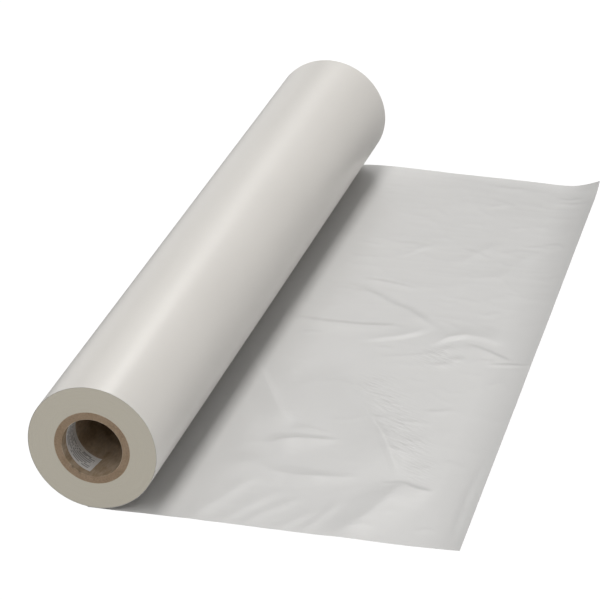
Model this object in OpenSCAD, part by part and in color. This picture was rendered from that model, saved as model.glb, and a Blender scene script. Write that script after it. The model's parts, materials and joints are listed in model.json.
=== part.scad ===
// Roll of self-adhesive sign vinyl on a paper core, lying on a flat surface with its free end unrolled.
// X runs along the free web, away from the roll. Y runs along the roll and Z is up. Sizes are in millimetres.
// The origin is on the surface, at the middle of the whole object's outline.

/* [Film] */
// Width of the film, which is also the length of the roll and of its core
film_w = 1040; // [600:10:1600]
// Thickness of the vinyl face film with its adhesive
face_t = 0.12; // [0.08:0.01:0.2]
// Thickness of the release liner
liner_t = 0.15; // [0.1:0.01:0.2]

/* [Roll] */
// Outer diameter of the roll, over its outermost lap
roll_d = 162; // [140:1:190]
// Gap that keeps the wound web, its outermost lap and the free web apart
lap_gap = 0.3; // [0.2:0.05:0.5]

/* [Core] */
// Inner diameter of the paper core, the usual 3 inch bore
core_id = 76.2; // [74:0.1:78]
// Wall thickness of the core
core_wall = 9.5; // [6:0.5:12]
// Thickness of the single paper plies that line the core inside and outside
ply_t = 0.6; // [0.4:0.1:1]

/* [Free web] */
// Length of the free web along its near edge, from the roll's lowest line to the cut end
web_near = 449; // [360:1:600]
// Length of the free web along its far edge, which is shorter because the cut isn't square
web_far = 396; // [340:1:600]
// Length of film at the cut end that keeps a curl from the roll
curl_len = 50; // [30:5:100]
// Radius of that curl
curl_r = 260; // [180:10:400]
// How far the free web reaches past the roll's lowest line, under the roll
web_tuck = 10; // [5:1:20]

/* [Label] */
// Distance of the label from the near end of the core
label_inset = 14; // [3:1:20]
// Length of the label along the core
label_len = 33; // [20:1:60]
// Where the label starts around the bore, in degrees from +X towards +Z
label_from = 130; // [90:5:180]
// How far the label reaches around the bore
label_arc = 132; // [90:1:180]
// Thickness of the label paper
label_t = 0.12; // [0.08:0.01:0.2]

/* [Tape] */
// Length of each of the three tape tabs, along the roll, that hold the film's inner end to the core
tab_len = 50; // [20:5:100]
// Width of a tape tab, around the core
tab_w = 25; // [12:1:40]
// Thickness of the tape
tab_t = 0.15; // [0.1:0.01:0.3]
// Distance of the outer two tape tabs from the ends of the roll
tab_inset = 80; // [20:5:200]

/* [Hidden] */
$fn = 128;

film_t = face_t + liner_t;
roll_r = roll_d / 2;
core_ri = core_id / 2;
core_ro = core_ri + core_wall;
lap_ri = roll_r - film_t;
wound_r = lap_ri - lap_gap;
near_y = -film_w / 2;
far_y = film_w / 2;

// The cut end leans towards the roll by this angle, and the curl follows the cut.
cut_angle = atan((web_near - web_far) / film_w);
curl_angle = curl_len / curl_r * 180 / PI;
curl_reach = curl_r * sin(curl_angle) / cos(cut_angle);
flat_near = web_near - curl_len / cos(cut_angle);
flat_far = web_far - curl_len / cos(cut_angle);

// The roll's axis, placed so that the outline is centred on the origin.
axis_x = (roll_r - flat_near - curl_reach) / 2;
axis_z = film_t + lap_gap + roll_r;

// The curl is drawn as this many flat strips.
curl_steps = 10;

// Where the tape tabs lie: where each starts along the roll, and where they all start around it.
tab_starts = [near_y + tab_inset, -tab_len / 2, far_y - tab_inset - tab_len];
tab_arc = tab_w / core_ro * 180 / PI;
tab_from = 60;

film_white = [0.84, 0.83, 0.81];
liner_white = [0.80, 0.80, 0.79];
end_grey = [0.66, 0.64, 0.59];
kraft = [0.51, 0.43, 0.36];
kraft_light = [0.58, 0.49, 0.41];
label_grey = [0.78, 0.78, 0.77];
tape_cream = [0.80, 0.74, 0.58];

// A ring, or part of one, around the roll's axis: angles run from +X towards +Z.
module ring(r_in, r_out, len = film_w, start_y = near_y, from = 0, arc = 360) {
    translate([axis_x, start_y + len, axis_z])
        rotate([90, 0, 0])
            rotate([0, 0, from])
                rotate_extrude(angle = arc)
                    translate([r_in, 0]) square([r_out - r_in, len]);
}

// Points along the curl at height z above the web's underside, from where it starts to the cut end.
function curl_points(z) = [
    for (i = [0:curl_steps])
        let (a = curl_angle * i / curl_steps)
            [(curl_r - z) * sin(a), curl_r - (curl_r - z) * cos(a)]
];

function reversed(points) = [for (i = [len(points) - 1:-1:0]) points[i]];

// Section of one layer of the free web, from height z_low to z_high. The curl starts at the section's origin.
module web_section(z_low, z_high) {
    back = -2 * web_near;
    polygon(concat([[back, z_low]], curl_points(z_low), reversed(curl_points(z_high)), [[back, z_high]]));
}

// One layer of the free web: its section, run along the cut end and trimmed to the film's width.
module web_layer(z_low, z_high) {
    intersection() {
        translate([axis_x + (flat_near + flat_far) / 2, 0, 0])
            rotate([0, 0, cut_angle])
                rotate([90, 0, 0])
                    linear_extrude(2 * film_w, center = true) web_section(z_low, z_high);
        translate([axis_x - web_tuck, near_y, -1]) cube([2 * web_near, film_w, curl_r]);
    }
}

// Innermost paper ply, which lines the bore.
module core_inner_ply() {
    color(kraft_light) ring(core_ri, core_ri + ply_t);
}

// The glued plies between, which carry the load.
module core_body_plies() {
    color(kraft) ring(core_ri + ply_t, core_ro - ply_t);
}

// Outermost paper ply, which the film is wound on.
module core_outer_ply() {
    color(kraft_light) ring(core_ro - ply_t, core_ro);
}

// Paper label stuck inside the bore, near the near end.
module core_label() {
    color(label_grey)
        ring(core_ri - label_t, core_ri, label_len, near_y + label_inset, label_from, label_arc);
}

// One of the tape tabs that hold the film's inner end to the core.
module tape_tab(start_y) {
    color(tape_cream) ring(core_ro, core_ro + tab_t, tab_len, start_y, tab_from, tab_arc);
}

module tape_tab_near() {
    tape_tab(tab_starts[0]);
}

module tape_tab_middle() {
    tape_tab(tab_starts[1]);
}

module tape_tab_far() {
    tape_tab(tab_starts[2]);
}

// All the laps under the outermost one, with a recess for each tape tab.
module wound_web() {
    color(end_grey)
        difference() {
            ring(core_ro, wound_r);
            for (start_y = tab_starts)
                ring(core_ro - tab_t, core_ro + tab_t, tab_len, start_y, tab_from, tab_arc);
        }
}

// Vinyl side of the outermost lap, which faces out.
module outer_lap_face() {
    color(film_white) ring(roll_r - face_t, roll_r);
}

// Liner side of the outermost lap.
module outer_lap_liner() {
    color(liner_white) ring(lap_ri, roll_r - face_t);
}

// Vinyl side of the free web, which faces down.
module free_web_face() {
    color(film_white) web_layer(0, face_t);
}

// Liner side of the free web, which faces up.
module free_web_liner() {
    color(liner_white) web_layer(face_t, film_t);
}

core_inner_ply();
core_body_plies();
core_outer_ply();
core_label();
tape_tab_near();
tape_tab_middle();
tape_tab_far();
wound_web();
outer_lap_face();
outer_lap_liner();
free_web_face();
free_web_liner();
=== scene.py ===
"""Looks for the roll of sign vinyl: a wound roll on a paper core, with its free web creased on the floor.

Lengths are in metres, in the frame that the CAD, the physics and this script share. Shapes on the free web
are given in millimetres, as x from the roll's lowest line and y from the near edge, and MM turns them into
metres.
"""

import json
import math

import bpy
import numpy as np
from mathutils import Matrix, Vector


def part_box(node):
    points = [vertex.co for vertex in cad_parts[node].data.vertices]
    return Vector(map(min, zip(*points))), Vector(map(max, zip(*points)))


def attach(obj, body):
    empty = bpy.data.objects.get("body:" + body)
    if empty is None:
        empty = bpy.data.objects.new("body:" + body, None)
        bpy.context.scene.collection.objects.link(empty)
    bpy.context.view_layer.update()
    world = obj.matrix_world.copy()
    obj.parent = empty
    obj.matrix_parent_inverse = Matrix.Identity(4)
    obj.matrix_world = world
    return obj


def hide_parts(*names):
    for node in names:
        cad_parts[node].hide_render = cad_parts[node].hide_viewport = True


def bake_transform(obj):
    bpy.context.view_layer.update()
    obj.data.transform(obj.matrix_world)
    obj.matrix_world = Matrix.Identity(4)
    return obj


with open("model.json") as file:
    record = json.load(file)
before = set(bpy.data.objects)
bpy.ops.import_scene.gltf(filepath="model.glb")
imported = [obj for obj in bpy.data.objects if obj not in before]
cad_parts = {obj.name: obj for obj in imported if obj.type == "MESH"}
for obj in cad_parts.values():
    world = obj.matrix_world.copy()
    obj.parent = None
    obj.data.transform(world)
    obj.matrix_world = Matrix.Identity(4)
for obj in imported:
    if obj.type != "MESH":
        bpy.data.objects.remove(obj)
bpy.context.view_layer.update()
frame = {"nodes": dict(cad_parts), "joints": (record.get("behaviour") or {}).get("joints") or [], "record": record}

MM = 0.001

# ---------------------------------------------------------------- sizes from the frame

joints = {j["name"]: j for j in frame["joints"]}
mounts = {m["name"]: m for m in frame["record"]["mounts"]}
AXIS = Vector(joints["roll_spin"]["pos_m"])
BORE_R = mounts["core_bore"]["dims"]["r_mm"] * MM
LAP_LOW, LAP_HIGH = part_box("outer_lap_face")
WEB_LOW, WEB_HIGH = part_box("free_web_face")
NEAR_Y, FAR_Y = LAP_LOW.y, LAP_HIGH.y
FILM_W = FAR_Y - NEAR_Y
ROLL_R = AXIS.z - LAP_LOW.z

# Thicknesses and gaps, the same as in the CAD: the film's two layers, the gap inside the outermost lap, the
# core's lining and wrap, and its whole wall.
FACE_T = 0.12 * MM
LINER_T = 0.15 * MM
LAP_GAP = 0.3 * MM
LAP_R = ROLL_R - FACE_T - LINER_T
WOUND_R = LAP_R - LAP_GAP
PLY_T = 0.6 * MM
CORE_WALL = 9.5 * MM
CORE_R = BORE_R + CORE_WALL
RING_SIDES = 256  # of the rings under the outermost lap

# The free web's cut end, along its near and far edges, and the length tucked under the roll. The cut
# isn't square: it reaches less far at the far edge, by END_SKEW.
END_SKEW = 53 * MM
WEB_NEAR = WEB_HIGH.x - AXIS.x
WEB_TUCK = AXIS.x - WEB_LOW.x

# ---------------------------------------------------------------- smooth seeded noise


def lattice_noise(x, y, size_x, size_y, seed):
    """Smooth noise from 0 to 1, with bumps about size_x by size_y across."""
    table = np.random.default_rng(seed).random((64, 64))
    u, v = x / size_x, y / size_y
    i, j = np.floor(u).astype(int), np.floor(v).astype(int)
    s, t = smooth(u - i), smooth(v - j)
    low = table[i % 64, j % 64] * (1 - s) + table[(i + 1) % 64, j % 64] * s
    high = table[i % 64, (j + 1) % 64] * (1 - s) + table[(i + 1) % 64, (j + 1) % 64] * s
    return low * (1 - t) + high * t


def smooth(t):
    """Smooth step of t, held at 0 below 0 and at 1 above 1."""
    t = np.clip(t, 0, 1)
    return t * t * (3 - 2 * t)


def ridges(noise):
    """Turns noise from 0 to 1 into narrow crests."""
    return (1 - np.abs(2 * noise - 1)) ** 3


def spot(x, y, at, size):
    """A soft round patch of height 1."""
    return np.exp(-(((x - at[0]) / size[0]) ** 2) - ((y - at[1]) / size[1]) ** 2)


# ---------------------------------------------------------------- shape of the free web


def crease(x, y, points, height, left, right, crest, taper=0, fade=0.3):
    """A fold whose crest runs along points and falls off over left and right millimetres to its sides.

    Towards its last point it gets lower and narrower, by taper as a share of its size.
    """
    along = np.zeros_like(x)
    aside = np.full_like(x, 1e9)
    lengths = [math.dist(a, b) for a, b in zip(points, points[1:])]
    start = 0
    for (ax, ay), (bx, by), length in zip(points, points[1:], lengths):
        ux, uy = (bx - ax) / length, (by - ay) / length
        t = np.clip((x - ax) * ux + (y - ay) * uy, 0, length)
        dx, dy = x - ax - t * ux, y - ay - t * uy
        away = np.hypot(dx, dy)
        nearer = away < np.abs(aside)
        aside = np.where(nearer, np.where(ux * dy - uy * dx > 0, away, -away), aside)
        along = np.where(nearer, start + t, along)
        start += length
    ends = smooth(np.minimum(along, start - along) / (fade * start))
    size = 1 - taper * along / start
    width = np.where(aside > 0, left, right) * size
    away = np.hypot(aside, crest) - crest
    return height * size * ends * np.clip(1 - away / width, 0, 1) ** 1.5


# Each fold of the free web: crest points, height, width of its left and right flanks, and crest radius, in
# millimetres, and sometimes its taper. Left and right are as seen walking along the points.
FOLDS = [
    # the long diagonal fold, its sharp crest, and the fold that goes on from it to the near edge
    ([(165, 425), (195, 379), (246, 315), (282, 262), (309, 209), (328, 168), (339, 140)], 3.5, 40, 80, 2),
    ([(230, 335), (246, 315), (282, 262), (309, 209), (328, 168), (339, 140)], 0.65, 8, 6, 0.8),
    ([(340, 152), (336, 110), (322, 60), (300, 10), (292, -20)], 2.4, 48, 36, 2.5),
    # the short crease at their meeting point, and the notch beside it
    ([(333, 146), (362, 131), (386, 128)], 1.6, 10, 42, 1),
    ([(316, 136), (341, 141)], 0.5, 5, 6, 1),
    # the fold from the roll towards the meeting point
    (
        [(100, 172), (148, 148), (183, 132), (211, 129), (235, 132), (257, 137), (280, 143), (301, 150)],
        *(3.9, 46, 58, 1.2, 0.8),
    ),
    # the pinch above it
    ([(150, 198), (170, 213), (187, 220), (215, 225), (232, 227), (249, 229)], 4.0, 27, 52, 1, 0.85),
    ([(168, 247), (191, 249), (212, 245), (230, 240)], 1.4, 16, 14, 0.8, 0.7),
    # the fold that starts under the roll and runs to the pinch
    ([(66, 428), (99, 368), (129, 318), (156, 270), (180, 240)], 2.0, 10, 30, 1.2),
    # the folds across the middle
    ([(58, 548), (100, 544), (138, 541), (180, 542), (222, 548), (252, 544)], 1.4, 9, 34, 1.5),
    ([(115, 670), (158, 644), (196, 616), (230, 596), (261, 568), (300, 542)], 1.5, 12, 45, 2),
    ([(142, 680), (185, 673), (228, 662)], 0.9, 7, 12, 1.2),
    ([(186, 498), (232, 519), (255, 535), (276, 562)], 1.2, 20, 10, 1.2),
    # the bent fold that ends in a point near the cut end
    ([(281, 502), (303, 533), (322, 543), (345, 541), (380, 526)], 1.6, 36, 10, 1.2),
    ([(324, 522), (360, 504), (400, 477)], 1.2, 7, 24, 1),
    ([(366, 468), (404, 473), (428, 472)], 0.8, 5, 8, 1),
    # short diagonals at the near edge
    ([(118, -8), (131, 36), (156, 98), (174, 126)], 0.8, 24, 15, 2),
    ([(150, -10), (174, 38), (195, 76), (208, 100)], 0.6, 18, 12, 2),
    ([(180, -10), (194, 26), (220, 60), (238, 88)], 0.55, 14, 11, 2),
    ([(222, -10), (238, 22), (254, 46), (262, 70)], 0.45, 14, 10, 2),
    ([(254, -10), (266, 30), (275, 60), (279, 95)], 0.65, 12, 12, 2),
    # towards the far edge
    ([(176, 752), (186, 768), (204, 792), (216, 802)], 0.5, 12, 5, 1),
    ([(256, 746), (283, 800), (305, 838)], 0.6, 18, 13, 2),
    ([(324, 700), (338, 772), (360, 822)], 0.6, 18, 13, 2),
    ([(196, 1050), (206, 1016), (229, 962), (234, 912)], 0.7, 30, 26, 2.5),
    # the line beside the cut end
    ([(437, -5), (431, 62), (427, 125), (427, 250)], 0.6, 6, 5, 1),
]


def small_folds(count, seed):
    """Short bent folds all over the web, mostly across it, in the form of FOLDS."""
    rng = np.random.default_rng(seed)
    for _ in range(count):
        at = rng.uniform((110, 20), (400, 1025))
        heading = math.radians(rng.normal(0, 24))
        bend = math.radians(rng.normal(0, 14))
        half = rng.uniform(12, 36)
        first = at - half * np.array((math.cos(heading - bend), math.sin(heading - bend)))
        last = at + half * np.array((math.cos(heading + bend), math.sin(heading + bend)))
        height, left, right, crest = rng.uniform(0.12, 0.4), rng.uniform(5, 9), rng.uniform(8, 20), 1
        yield [tuple(first), tuple(at), tuple(last)], height, left, right, crest


# Small lumps of the free web: centre, radius and height.
LUMPS = [((309, 500), 9, 1.0), ((314, 455), 8, 0.9), ((328, 474), 7, 0.9), ((262, 655), 14, 0.4)]

# Broad waves of the free web: height, size along x and y, and seed.
WAVES = [(0.9, 150, 260, 11), (0.25, 60, 90, 12)]

# Slanting crests all over it: height, slant as x per y, size along x and y, and seed.
CRESTS = [(0.35, 0.4, 85, 70, 15), (0.16, -0.5, 46, 60, 19)]

# Small crests across its far half: height, size along x and y, and seed. They start past FAR_HALF.
FAR_CRESTS = (0.10, 60, 13, 8)
FAR_HALF = 520

# Patches of fine slanting crinkles: centre and radius. The first five lie beside the long fold.
CRINKLED = [
    ((246, 385), 22),
    ((276, 338), 22),
    ((303, 288), 24),
    ((328, 236), 24),
    ((352, 178), 23),
    ((158, 288), 15),
    ((302, 478), 24),
]


def web_height(x, y):
    """Height of the free web's underside, for x and y in millimetres."""
    end = end_distance(x, y)
    height = 0.5 + sum(top * lattice_noise(x, y, *sizes) for top, *sizes in WAVES)
    for fold in FOLDS + list(small_folds(count=80, seed=17)):
        height += crease(x, y, *fold)
    for at, radius, top in LUMPS:
        height += top * spot(x, y, at, (radius, radius))
    top, *sizes = FAR_CRESTS
    height += top * ridges(lattice_noise(x, y, *sizes)) * smooth((y - FAR_HALF) / 120)
    for top, slant, *sizes in CRESTS:
        height += top * ridges(lattice_noise(x + slant * y, y, *sizes))
    # It lies flat where it comes out from under the roll, and is calmer beside the cut end.
    height *= smooth((x - 12) / 60) * (1 - 0.6 * smooth((45 - end) / 60))
    clear, under_roll = 0.02, 0.24 * smooth((30 - x) / 30)
    return clear + height + under_roll + end_curl(y, end) + far_lip(x, y)


def far_lip(x, y):
    """The far edge lifts a little, most near the roll."""
    inward = FILM_W / MM - y
    edge = 1.3 * np.clip(1 - inward / 26, 0, 1) ** 2
    hump = 2.6 * np.clip(1 - inward / 90, 0, 1) ** 2 * np.exp(-(((x - 90) / 70) ** 2))
    return smooth(x / 60) * (edge + hump)


def crinkle_mask(x, y):
    """Where the web has fine slanting crinkles, from 0 to 1."""
    return np.clip(sum(spot(x, y, at, (size, size * 1.2)) for at, size in CRINKLED), 0, 1)


def end_distance(x, y):
    """Distance along x from a point to the cut end of the web, in millimetres."""
    return web_reach(y) - x


def web_reach(y):
    """How far the web reaches from the roll's lowest line, in millimetres."""
    return WEB_NEAR / MM - y * END_SKEW / FILM_W


def end_curl(y, end):
    """The film at the cut end still curls up: least at the near corner, and most at the far one."""
    far = smooth((y - 420) / 600)
    width = 68 - 6 * far
    hump = 0.9 * spot(y, y, (500, 500), (90, 90))
    rise = 2.3 + 2.9 * far + hump
    corner_radius, corner_rise = 42, 6.0
    from_corner = np.hypot(end, (y - FILM_W / MM) * 0.8)
    corner = corner_rise * np.clip(1 - from_corner / corner_radius, 0, 1) ** 2
    return rise * np.clip(1 - end / width, 0, 1) ** 2 + corner


# ---------------------------------------------------------------- mesh builders


def new_piece(name, verts, faces, material, sharp=40):
    """A mesh object with smooth faces, and sharp edges where two faces turn more than sharp degrees."""
    mesh = bpy.data.meshes.new(name)
    mesh.from_pydata(np.asarray(verts).tolist(), [], np.asarray(faces).tolist())
    mesh.validate()
    mesh.shade_smooth()
    mesh.set_sharp_from_angle(angle=math.radians(sharp))
    mesh.materials.append(material)
    piece = bpy.data.objects.new(name, mesh)
    bpy.context.scene.collection.objects.link(piece)
    return piece


def set_point_value(piece, name, values):
    """Gives a mesh a value at each of its points, for its material to read."""
    piece.data.attributes.new(name, "FLOAT", "POINT").data.foreach_set("value", values)


def grid_faces(rows, columns, wrap_rows=False, wrap_columns=False):
    """Quads of a grid of points numbered row by row."""
    i = np.arange(rows if wrap_rows else rows - 1)
    j = np.arange(columns if wrap_columns else columns - 1)
    i, j = (a.ravel() for a in np.meshgrid(i, j, indexing="ij"))
    i2, j2 = (i + 1) % rows, (j + 1) % columns
    return np.stack([i * columns + j, i2 * columns + j, i2 * columns + j2, i * columns + j2], 1)


def shell(name, top, bottom, material):
    """A closed sheet between two grids of points of the same shape."""
    rows, columns = top.shape[:2]
    count = rows * columns
    faces = grid_faces(rows, columns)
    index = np.arange(count).reshape(rows, columns)
    rim = np.concatenate([index[0, :-1], index[:-1, -1], index[-1, :0:-1], index[:0:-1, 0]])
    after = np.roll(rim, -1)
    sides = np.stack([rim, after, after + count, rim + count], 1)
    verts = np.concatenate([top.reshape(-1, 3), bottom.reshape(-1, 3)])
    return new_piece(name, verts, np.concatenate([faces, faces[:, ::-1] + count, sides]), material)


def revolve(name, outline, turns, material, change=None):
    """A ring around the roll's axis from a closed outline of (radius, y) points.

    change(angle, radius, y) gives the radius and y of each point, where the ring isn't perfect.
    """
    angle = np.linspace(0, 2 * math.pi, turns, endpoint=False)[:, None]
    radius, y = (np.array(outline)[None, :, k] + 0 * angle for k in (0, 1))
    angle = angle + 0 * radius
    if change:
        radius, y = change(angle, radius, y)
    verts = np.stack([AXIS.x + radius * np.cos(angle), y, AXIS.z + radius * np.sin(angle)], -1)
    faces = grid_faces(turns, len(outline), wrap_rows=True, wrap_columns=True)
    return new_piece(name, verts.reshape(-1, 3), faces, material)


def steps(a, b, spacing):
    """Evenly spaced values from a to b, about spacing apart."""
    return np.linspace(a, b, max(2, round(abs(b - a) / spacing) + 1))


# ---------------------------------------------------------------- materials


def principled(name, colour, roughness, specular=0.5):
    """A new material, with its node tree and its shader."""
    material = bpy.data.materials.new(name)
    material.use_nodes = True
    shader = material.node_tree.nodes["Principled BSDF"]
    shader.inputs["Base Color"].default_value = (*colour, 1)
    shader.inputs["Roughness"].default_value = roughness
    shader.inputs["Specular IOR Level"].default_value = specular
    return material, material.node_tree, shader


def noise_node(tree, size, detail=3, about=None, turn=0):
    """Noise with features of the given size in millimetres along each axis, turned about Z by turn degrees.

    It is placed by the object's own coordinates, or by the vector given as about.
    """
    nodes, links = tree.nodes, tree.links
    about = about or nodes.new("ShaderNodeTexCoord").outputs["Object"]
    mapping = nodes.new("ShaderNodeMapping")
    mapping.vector_type = "TEXTURE"
    mapping.inputs["Scale"].default_value = [millimetres * MM for millimetres in size]
    mapping.inputs["Rotation"].default_value = (0, 0, math.radians(turn))
    links.new(about, mapping.inputs["Vector"])
    noise = nodes.new("ShaderNodeTexNoise")
    noise.inputs["Scale"].default_value = 1
    noise.inputs["Detail"].default_value = detail
    links.new(mapping.outputs["Vector"], noise.inputs["Vector"])
    return noise.outputs["Fac"]


def axis_radius(tree):
    """The distance from the roll's axis, as a vector that noise can read."""
    nodes, links = tree.nodes, tree.links
    place = nodes.new("ShaderNodeTexCoord")
    move = nodes.new("ShaderNodeVectorMath")
    move.operation = "SUBTRACT"
    move.inputs[1].default_value = AXIS
    flat = nodes.new("ShaderNodeVectorMath")
    flat.operation = "MULTIPLY"
    flat.inputs[1].default_value = (1, 0, 1)
    length = nodes.new("ShaderNodeVectorMath")
    length.operation = "LENGTH"
    out = nodes.new("ShaderNodeCombineXYZ")
    links.new(place.outputs["Object"], move.inputs[0])
    links.new(move.outputs["Vector"], flat.inputs[0])
    links.new(flat.outputs["Vector"], length.inputs[0])
    links.new(length.outputs["Value"], out.inputs["X"])
    return out.outputs["Vector"]


def ramp_node(tree, fac, low, high, colours):
    """Maps fac from low..high to two colours."""
    ramp = tree.nodes.new("ShaderNodeValToRGB")
    for element, place, colour in zip(ramp.color_ramp.elements, (low, high), colours):
        element.position = place
        element.color = (*colour, 1)
    tree.links.new(fac, ramp.inputs["Fac"])
    return ramp.outputs["Color"]


def bump_node(tree, shader, height, distance):
    """Adds a bump of the given height in metres. Bumps added later go on top."""
    bump = tree.nodes.new("ShaderNodeBump")
    bump.inputs["Distance"].default_value = distance
    tree.links.new(height, bump.inputs["Height"])
    if shader.inputs["Normal"].is_linked:
        tree.links.new(shader.inputs["Normal"].links[0].from_socket, bump.inputs["Normal"])
    tree.links.new(bump.outputs["Normal"], shader.inputs["Normal"])


def point_value(tree, name):
    """A value that the mesh carries at each of its points."""
    attribute = tree.nodes.new("ShaderNodeAttribute")
    attribute.attribute_name = name
    return attribute.outputs["Fac"]


def shades(colour, spread):
    """A darker and a lighter shade of a colour."""
    return [tuple(c * (1 - spread) for c in colour), tuple(c * (1 + spread) for c in colour)]


def vinyl_material():
    """The vinyl face: warm white, satin, with faint bands from winding and a fine orange peel."""
    colour = (0.715, 0.695, 0.665)
    material, tree, shader = principled("vinyl_face", colour, 0.3, specular=0.35)
    clouds = noise_node(tree, (110, 200, 110), 4)
    tree.links.new(ramp_node(tree, clouds, 0.3, 0.7, shades(colour, 0.015)), shader.inputs["Base Color"])
    bands, peel = noise_node(tree, (500, 17, 500), 2), noise_node(tree, (1.1, 1.1, 1.1), 2)
    bump_node(tree, shader, bands, 0.004 * MM)
    bump_node(tree, shader, peel, 0.002 * MM)
    return material


# Painted shade on the liner at its cut end: how dark it gets there, as a share of its colour, and over how many
# millimetres.
PAINTED_END_SHADE = 0.80
PAINTED_END_SHADE_WIDTH = 55


def liner_material():
    """The release liner: cooler white, faintly glossy, with painted shade towards its cut end, and fine crinkles.
    """
    colour = (0.632, 0.630, 0.626)
    material, tree, shader = principled("release_liner", colour, 0.28, specular=0.4)
    clouds = noise_node(tree, (140, 140, 140), 4)
    # Painted shade: the base colour darkens towards the cut end.
    painted_shade = tree.nodes.new("ShaderNodeMix")
    painted_shade.data_type = "RGBA"
    painted_shade.inputs["B"].default_value = (*(PAINTED_END_SHADE * c for c in colour), 1)
    tree.links.new(ramp_node(tree, clouds, 0.3, 0.7, shades(colour, 0.012)), painted_shade.inputs["A"])
    tree.links.new(point_value(tree, "painted_end_shade"), painted_shade.inputs["Factor"])
    tree.links.new(painted_shade.outputs["Result"], shader.inputs["Base Color"])
    streaks = noise_node(tree, (60, 9, 60), 2)
    bump_node(tree, shader, streaks, 0.02 * MM)
    slanting = tree.nodes.new("ShaderNodeMath")
    slanting.operation = "MULTIPLY"
    tree.links.new(noise_node(tree, (17, 5, 17), 1, turn=-25), slanting.inputs[0])
    tree.links.new(point_value(tree, "crinkles"), slanting.inputs[1])
    bump_node(tree, shader, slanting.outputs["Value"], 0.85 * MM)
    return material


def laps_material():
    """The slit edges of the laps: film and liner in turn, seen as fine rings of slightly different tone."""
    colour = (0.50, 0.465, 0.39)
    material, tree, shader = principled("slit_edges", colour, 0.62, specular=0.35)
    radius = axis_radius(tree)
    rings = noise_node(tree, (0.7, 1, 1), 5, about=radius)
    tree.links.new(ramp_node(tree, rings, 0.3, 0.7, shades(colour, 0.05)), shader.inputs["Base Color"])
    bump_node(tree, shader, rings, 0.12 * MM)
    bump_node(tree, shader, noise_node(tree, (3.3, 3.3, 3.3), 3), 0.04 * MM)
    return material


def board_material(name, colour, stain):
    """Grey-brown kraft paper or board with fibres, cloudy stains of the given strength, and near-black patches at
    the knocks: torn paper, with painted shade inside the dents.
    """
    material, tree, shader = principled(name, colour, 0.85, specular=0.2)
    fibres = noise_node(tree, (2.4, 8, 2.4), 5)
    stains = tree.nodes.new("ShaderNodeMix")
    stains.data_type, stains.blend_type = "RGBA", "MULTIPLY"
    stains.inputs["Factor"].default_value = 1
    tree.links.new(ramp_node(tree, fibres, 0.3, 0.7, shades(colour, 0.14)), stains.inputs["A"])
    cloudy = [(1 - stain, 1 - 1.2 * stain, 1 - 1.5 * stain), (1, 1, 1)]
    tree.links.new(ramp_node(tree, noise_node(tree, (13, 22, 13), 3), 0.35, 0.6, cloudy), stains.inputs["B"])
    # Near-black patches at the knocks: torn paper, with the shade inside the dents painted in.
    torn_and_shaded = tree.nodes.new("ShaderNodeMix")
    torn_and_shaded.data_type = "RGBA"
    torn_and_shaded.inputs["B"].default_value = (0.06, 0.045, 0.03, 1)
    tree.links.new(point_value(tree, "torn_and_shaded"), torn_and_shaded.inputs["Factor"])
    tree.links.new(stains.outputs["Result"], torn_and_shaded.inputs["A"])
    tree.links.new(torn_and_shaded.outputs["Result"], shader.inputs["Base Color"])
    bump_node(tree, shader, fibres, 0.08 * MM)
    bump_node(tree, shader, noise_node(tree, (0.4, 1, 1), 2, about=axis_radius(tree)), 0.1 * MM)
    return material


def tape_material():
    """Cream crepe tape."""
    colour = (0.60, 0.52, 0.32)
    material, tree, shader = principled("crepe_tape", colour, 0.7, specular=0.3)
    crepe = noise_node(tree, (1.4, 11, 1.4), 3)
    tree.links.new(ramp_node(tree, crepe, 0.3, 0.7, shades(colour, 0.06)), shader.inputs["Base Color"])
    bump_node(tree, shader, crepe, 0.05 * MM)
    return material


def label_material():
    """White label paper. Plain bars stand for its print, and they spell nothing."""
    paper = (0.74, 0.735, 0.73)
    material, tree, shader = principled("label_paper", paper, 0.6, specular=0.3)
    nodes, links = tree.nodes, tree.links
    mix = nodes.new("ShaderNodeMix")
    mix.data_type = "RGBA"
    links.new(point_value(tree, "print"), mix.inputs["Factor"])
    fibres = noise_node(tree, (2, 2, 2), 3)
    links.new(ramp_node(tree, fibres, 0.3, 0.7, shades(paper, 0.02)), mix.inputs["A"])
    mix.inputs["B"].default_value = (0.36, 0.36, 0.37, 1)
    links.new(mix.outputs["Result"], shader.inputs["Base Color"])
    bump_node(tree, shader, fibres, 0.02 * MM)
    return material


# ---------------------------------------------------------------- pieces of the roll

# Two small wrinkles of the outermost lap: where they are, in millimetres from the near end and in degrees
# around the axis, how far from there each one runs, how much they slant in millimetres per degree, their
# half width and height in millimetres, and the stretch that's meshed finely for them.
WRINKLE_AT = 540
WRINKLE_FROM, WRINKLE_TO = 88, 114
WRINKLE_OFFSETS = (4, -15)
WRINKLE_SLANT = 1.2
WRINKLE_WIDTH, WRINKLE_HEIGHT = 4, 0.07
WRINKLED = (NEAR_Y + (WRINKLE_AT - 35) * MM, NEAR_Y + (WRINKLE_AT + 30) * MM)

# Its broad waves, in millimetres from trough to crest.
LAP_WAVE = 0.12


def lap_change(angle, radius, y):
    """The outermost lap is a little uneven: broad waves, and two small slanting wrinkles on top."""
    turn, length = np.degrees(angle), (y - NEAR_Y) / MM
    broad = lattice_noise(turn + 40, length, 90, 170, 3) - 0.5
    slant = length - WRINKLE_AT + WRINKLE_SLANT * (turn - 100)
    window = smooth((turn - WRINKLE_FROM) / 8) * smooth((WRINKLE_TO - turn) / 8)
    wrinkles = sum(np.exp(-(((slant - offset) / WRINKLE_WIDTH) ** 2)) for offset in WRINKLE_OFFSETS)
    wave = (LAP_WAVE * broad + WRINKLE_HEIGHT * window * wrinkles) * MM
    return radius + np.where(radius > ROLL_R - FACE_T / 2, wave, 0), y


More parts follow.
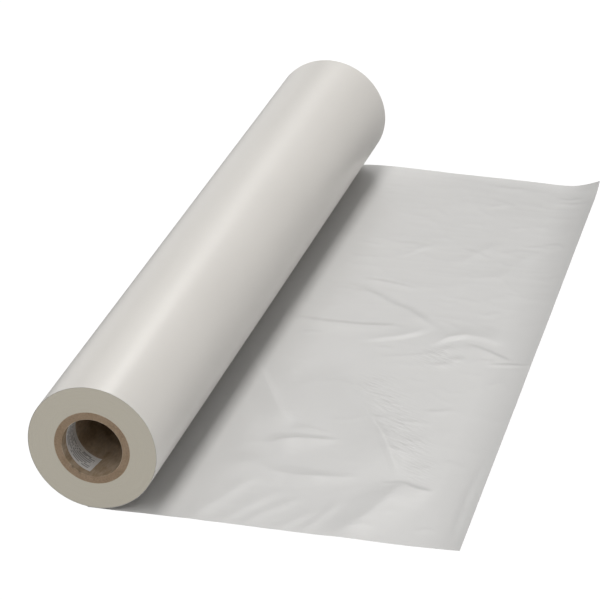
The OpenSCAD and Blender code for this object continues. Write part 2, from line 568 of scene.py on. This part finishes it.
def make_outer_lap(vinyl, liner):
    """The outermost lap, as a vinyl ring outside a liner ring."""
    coarse, fine, sides = 4 * MM, 1.5 * MM, 320
    before, after = steps(NEAR_Y, WRINKLED[0], coarse), steps(WRINKLED[1], FAR_Y, coarse)
    along = [*before[:-1], *steps(*WRINKLED, fine), *after[1:]]
    face_in = ROLL_R - FACE_T
    outline = [(ROLL_R, y) for y in along] + [(face_in, FAR_Y), (face_in, NEAR_Y)]
    face = revolve("outer_lap_vinyl", outline, sides, vinyl, lap_change)
    outline = [(face_in, NEAR_Y), (face_in, FAR_Y), (LAP_R, FAR_Y), (LAP_R, NEAR_Y)]
    back = revolve("outer_lap_backing", outline, sides, liner)
    for piece, node in ((face, "outer_lap_face"), (back, "outer_lap_liner")):
        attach(piece, "outer_lap")
        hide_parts(node)


def lap_ends(angle, radius, y):
    """Laps end a little unevenly, so the end faces have fine rings and a slight drift."""
    ring_height, drift_height, set_back = 0.22, 0.25, 0.2
    on_face = (radius > CORE_R + 0.1 * MM) & (radius < WOUND_R - 0.1 * MM)
    millimetres = radius / MM
    rings = lattice_noise(millimetres, 0 * y, 0.9, 1, 21) - 0.5
    drift = lattice_noise(millimetres, angle * 10, 9, 16, 22) - 0.5
    out = np.where(y < 0, -1, 1)
    uneven = out * (ring_height * rings + drift_height * drift - set_back)
    return radius, y + np.where(on_face, uneven, 0) * MM


def make_wound_laps(material):
    """All the laps under the outermost one."""
    across = steps(CORE_R, WOUND_R, 0.45 * MM)
    near = [(r, NEAR_Y) for r in across]
    far = [(r, FAR_Y) for r in across[::-1]]
    piece = revolve("wound_laps", near + far, RING_SIDES, material, lap_ends)
    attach(piece, "roll")
    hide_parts("wound_web")


# How much the corners of the core's lining and wrap are eased.
PLY_EDGE = 0.15 * MM


def ply_outline(inner, outer, along):
    """A ring's outline with its four corners eased, and its inner wall split at the given places."""
    inside = [(inner, y) for y in along[::-1]]
    outside = [(outer, NEAR_Y + PLY_EDGE), (outer, FAR_Y - PLY_EDGE)]
    near = [(inner + PLY_EDGE, NEAR_Y), (outer - PLY_EDGE, NEAR_Y)]
    far = [(outer - PLY_EDGE, FAR_Y), (inner + PLY_EDGE, FAR_Y)]
    return near + outside + far + inside


def spiral_seam(angle, radius, y):
    """The lining ply is a spiral strip whose butt joint shows as a shallow groove. It has the knocks too."""
    pitch, half_width, depth = 110 * MM, 1.6 * MM, 0.25 * MM
    across = (y / pitch - angle / (2 * math.pi)) % 1.0 * pitch
    groove = depth * np.exp(-(((across - 0.5 * pitch) / half_width) ** 2))
    inside = radius < BORE_R + PLY_T / 2
    return radius + np.where(inside, groove, 0) + KNOCK_DEPTH * knock_share(angle, y), y


# Two small knocks in the edge of the bore at the near end: where they are around the axis, how deep they go
# into the wall, their half width, their length along the bore, and how far into the board they show.
KNOCKS_AT = (math.radians(-132), math.radians(-117))
KNOCK_DEPTH = 1.2 * MM
KNOCK_WIDTH = 1.7 * MM
KNOCK_LENGTH = 4 * MM
KNOCK_REACH = 3 * MM


def knock_share(angle, y):
    """1 at the middle of a knock, and 0 away from it."""
    share = 0
    for at in KNOCKS_AT:
        turn = (angle - at + math.pi) % (2 * math.pi) - math.pi
        share = share + np.exp(-((turn * BORE_R / KNOCK_WIDTH) ** 2))
    return share * np.clip(1 - (y - NEAR_Y) / KNOCK_LENGTH, 0, 1)


def near_bore(radius):
    """1 at the bore's wall, and 0 where no knock reaches."""
    return np.clip(1 - (radius - BORE_R) / KNOCK_REACH, 0, 1)


def mark_torn_and_shaded_knocks(piece):
    """Tells the material of a core ring where its paper is torn at the knocks, and where their shade is painted.
    """
    places = np.empty(3 * len(piece.data.vertices))
    piece.data.vertices.foreach_get("co", places)
    x, y, z = places.reshape(-1, 3).T
    angle, radius = np.arctan2(z - AXIS.z, x - AXIS.x), np.hypot(x - AXIS.x, z - AXIS.z)
    set_point_value(piece, "torn_and_shaded", knock_share(angle, y) * near_bore(radius))


def make_core(board, paper):
    """The three rings of the core. The lining is meshed finely at its near mouth, where it has knocks."""
    ends = [NEAR_Y + PLY_EDGE, FAR_Y - PLY_EDGE]
    mouth = NEAR_Y + 5 * MM
    finely = [*steps(ends[0], mouth, 0.6 * MM), *steps(mouth + 5 * MM, ends[1], 9 * MM)]
    lining = ply_outline(BORE_R, BORE_R + PLY_T, finely)
    plies = board_outline(BORE_R + PLY_T, CORE_R - PLY_T)
    wrap = ply_outline(CORE_R - PLY_T, CORE_R, ends)
    rings = [
        ("core_lining", "core_inner_ply", "core_paper", lining, paper, spiral_seam),
        ("core_board", "core_body_plies", "core_board", plies, board, board_ends),
        ("core_wrap", "core_outer_ply", "core_paper", wrap, paper, None),
    ]
    for name, node, slot, outline, material, change in rings:
        piece = revolve(name, outline, RING_SIDES, material, change)
        mark_torn_and_shaded_knocks(piece)
        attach(piece, "roll")
        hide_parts(node)


def board_outline(inner, outer):
    """The board's outline, with its end faces split finely enough to show its plies."""
    across = steps(inner, outer, 0.28 * MM)
    return [(r, NEAR_Y) for r in across] + [(r, FAR_Y) for r in across[::-1]]


def board_ends(angle, radius, y):
    """The cut ends of the board's plies stand back by different amounts. The knocks go into the board too."""
    plies = lattice_noise(radius / MM, angle, 0.7, 2.5, 31) - 0.5
    inside = (radius > BORE_R + PLY_T * 1.2) & (radius < CORE_R - PLY_T * 1.2)
    out = np.where(y < 0, -1, 1)
    dent = KNOCK_DEPTH * knock_share(angle, y) * near_bore(radius)
    return radius + dent, y + np.where(inside, out * (0.3 * plies - 0.15), 0) * MM


# The label on the bore wall: where its near edge and its lower end lie, its size, and its slant.
LABEL_START = 14 * MM
LABEL_LEN = 33 * MM
LABEL_FROM, LABEL_ARC = math.radians(130), math.radians(132)
LABEL_T = 0.12 * MM
LABEL_SLANT = math.radians(-7)
LABEL_ROWS = 9


def label_bars(u, v):
    """1 where the label is printed: six rows of short bars, a block and a thin rule, which spell nothing."""
    row = np.floor(v * LABEL_ROWS)
    in_row = (np.abs(v * LABEL_ROWS - row - 0.5) < 0.27) & (row > 0) & (row < 7)
    gaps = np.random.default_rng(4).random((12, 64))
    dashes = gaps[row.astype(int) % 12, np.floor(u * 46).astype(int) % 64] > 0.30
    block = (np.abs(u - 0.80) < 0.07) & (np.abs(v - 0.80) < 0.04)
    rule = np.abs(v - 0.86) < 0.008
    margin = (u > 0.06) & (u < 0.94)
    return ((in_row & dashes) | block | rule) & margin


def make_label(material):
    """The paper label inside the bore, slightly slanted, with its corners just lifting."""
    u, v = np.meshgrid(np.linspace(0, 1, 280), np.linspace(0, 1, 100), indexing="ij")
    arc, along = (u - 0.5) * LABEL_ARC * BORE_R, (v - 0.5) * LABEL_LEN
    turned_arc = arc * math.cos(LABEL_SLANT) - along * math.sin(LABEL_SLANT)
    turned_along = arc * math.sin(LABEL_SLANT) + along * math.cos(LABEL_SLANT)
    angle = LABEL_FROM + LABEL_ARC / 2 + turned_arc / BORE_R
    y = NEAR_Y + LABEL_START + LABEL_LEN / 2 + turned_along
    corner = np.maximum(np.abs(u - 0.5), 0.38) - 0.38 + 0.6 * (np.maximum(np.abs(v - 0.5), 0.36) - 0.36)
    lift = 0.03 * MM + 4.0 * MM * corner**2

    def wall(radius):
        return np.stack([AXIS.x + radius * np.cos(angle), y, AXIS.z + radius * np.sin(angle)], -1)

    piece = shell("bore_label", wall(BORE_R - LABEL_T - lift), wall(BORE_R - lift), material)
    set_point_value(piece, "print", np.concatenate([label_bars(u, v).ravel(), np.zeros(u.size)]))
    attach(piece, "roll")
    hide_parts("core_label")


# ---------------------------------------------------------------- the free web


# How many points the free web's mesh has along the film and across it.
WEB_POINTS = (126, 417)


def make_free_web(vinyl, liner):
    """The free web's two layers, which follow the same creases."""
    u, v = np.meshgrid(*(np.linspace(0, 1, points) for points in WEB_POINTS), indexing="ij")
    y = v * FILM_W / MM
    x = -WEB_TUCK / MM + u * (web_reach(y) + WEB_TUCK / MM)
    height = web_height(x, y) * MM
    end = end_distance(x, y)
    # Painted shade for the liner: 1 at the cut end, fading to 0 inwards.
    painted_end_shade = np.clip(1 - end / PAINTED_END_SHADE_WIDTH, 0, 1) ** 1.2
    # The far edge is drawn in a little just before the lifted corner.
    drawn_in = 4.5 * spot(x, y, (350, 1040), (45, 90)) * smooth(end / 40)
    base = np.stack([AXIS.x + x * MM, NEAR_Y + (y - drawn_in) * MM, height], -1)
    layers = [
        ("free_web_vinyl", "free_web_face", "vinyl", vinyl, 0, FACE_T),
        ("free_web_backing", "free_web_liner", "liner", liner, FACE_T, FACE_T + LINER_T),
    ]
    for name, node, slot, material, low, high in layers:
        piece = shell(name, base + (0, 0, high), base + (0, 0, low), material)
        set_point_value(piece, "crinkles", np.tile(crinkle_mask(x, y).ravel(), 2))
        set_point_value(piece, "painted_end_shade", np.tile(painted_end_shade.ravel(), 2))
        start, end = (AXIS.x, 0, 0), (AXIS.x + WEB_NEAR, 0, 0)
        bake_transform(piece)
        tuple(start)
        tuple(end)
        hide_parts(node)


# ---------------------------------------------------------------- stage, light and camera


def make_stage():
    """A plain white floor, just under the web."""
    material, _, shader = principled("floor_white", (0.08, 0.08, 0.08), 0.9, specular=0.0)
    shader.inputs["Emission Color"].default_value = (1, 1, 1, 1)
    shader.inputs["Emission Strength"].default_value = 0.98
    half, drop = 20, -0.3 * MM
    corners = [(-half, -half, drop), (half, -half, drop), (half, half, drop), (-half, half, drop)]
    floor = new_piece("floor", corners, [(0, 1, 2, 3)], material)
    floor.visible_glossy = False


def area_light(name, at, towards, size, radiance, colour):
    """A flat rectangular light of the given radiance, facing a point."""
    lamp = bpy.data.lights.new(name, "AREA")
    lamp.shape = "RECTANGLE"
    lamp.size, lamp.size_y = size
    lamp.energy = radiance * math.pi * size[0] * size[1]
    lamp.color = colour
    light = bpy.data.objects.new(name, lamp)
    facing = (Vector(at) - Vector(towards)).to_track_quat("Z", "Y").to_matrix().to_4x4()
    light.matrix_world = Matrix.Translation(at) @ facing
    light.visible_camera = False
    bpy.context.scene.collection.objects.link(light)


def make_lights():
    """A long strip over the roll, dim panels behind it, and a low fill on the right, in a dim white room."""
    world = bpy.data.worlds.new("room")
    bpy.context.scene.world = world
    world.use_nodes = True
    world.node_tree.nodes["Background"].inputs["Color"].default_value = (0.97, 0.985, 1, 1)
    world.node_tree.nodes["Background"].inputs["Strength"].default_value = 0.22
    # Each one's place, the point that it faces, its width and height, its radiance and its colour.
    x = AXIS.x
    white, pale, warm = (1, 0.985, 0.96), (1, 0.99, 0.975), (1, 0.95, 0.88)
    area_light("strip", (x + 0.05, -0.7, 1.75), (x + 0.05, -0.7, 0), (0.46, 5.2), 4.95, white)
    area_light("far_strip", (x - 0.26, 2.85, 1.75), (x - 0.26, 2.85, 0), (0.8, 1.9), 1.1, white)
    area_light("panel", (x - 0.25, 3.9, 2.15), (x - 0.25, 0, 0), (3.6, 1.3), 0.64, pale)
    area_light("panel_top", (x - 0.8, 3.4, 3.2), (x - 0.2, 0.3, 0), (2.6, 0.7), 2.5, white)
    area_light("backdrop", (x - 3.2, 5.0, 0.4), (x - 3.2, 0, 0.4), (2.4, 2.6), 0.6, pale)
    area_light("fill", (x + 2.6, 1.2, 0.4), (x, 1.0, 0.1), (3.0, 0.8), 1.3, warm)


# The photograph's viewing angle, as a camera fitted to the outlines in it: degrees around the part, up and
# rolled, the point it looks at on the floor, its distance from there in metres, and its lens in millimetres.
VIEW_AZIMUTH, VIEW_ELEVATION, VIEW_ROLL = (math.radians(a) for a in (17.03, 26.12, -1.66))
VIEW_AIM = Vector((AXIS.x + 0.080, NEAR_Y + 0.599, 0))
VIEW_DISTANCE = 4.667
VIEW_LENS = 209.27


def make_camera():
    """The camera: a long lens, from the near end and above."""
    level = math.cos(VIEW_ELEVATION)
    back = Vector(
        (math.sin(VIEW_AZIMUTH) * level, -math.cos(VIEW_AZIMUTH) * level, math.sin(VIEW_ELEVATION))
    )
    right = Vector((0, 0, 1)).cross(back).normalized()
    up = back.cross(right)
    right, up = (
        right * math.cos(VIEW_ROLL) + up * math.sin(VIEW_ROLL),
        up * math.cos(VIEW_ROLL) - right * math.sin(VIEW_ROLL),
    )
    data = bpy.data.cameras.new("camera")
    data.lens, data.sensor_width = VIEW_LENS, 36
    data.clip_end = 100
    camera = bpy.data.objects.new("camera", data)
    facing = Matrix((right, up, back)).transposed().to_4x4()
    camera.matrix_world = Matrix.Translation(VIEW_AIM + back * VIEW_DISTANCE) @ facing
    bpy.context.scene.collection.objects.link(camera)
    bpy.context.scene.camera = camera


# ---------------------------------------------------------------- build

make_camera()
make_stage()
make_lights()

vinyl, liner = vinyl_material(), liner_material()
make_outer_lap(vinyl, liner)
make_wound_laps(laps_material())
board = board_material("core_board", (0.28, 0.205, 0.14), 0.1)
make_core(board, board_material("core_paper", (0.43, 0.343, 0.255), 0.24))
make_label(label_material())
make_free_web(vinyl, liner)

tape = tape_material()
for node in ("tape_tab_near", "tape_tab_middle", "tape_tab_far"):
    frame["nodes"][node].data.materials.clear()
    frame["nodes"][node].data.materials.append(tape)

bpy.context.scene.view_settings.view_transform = "Standard"
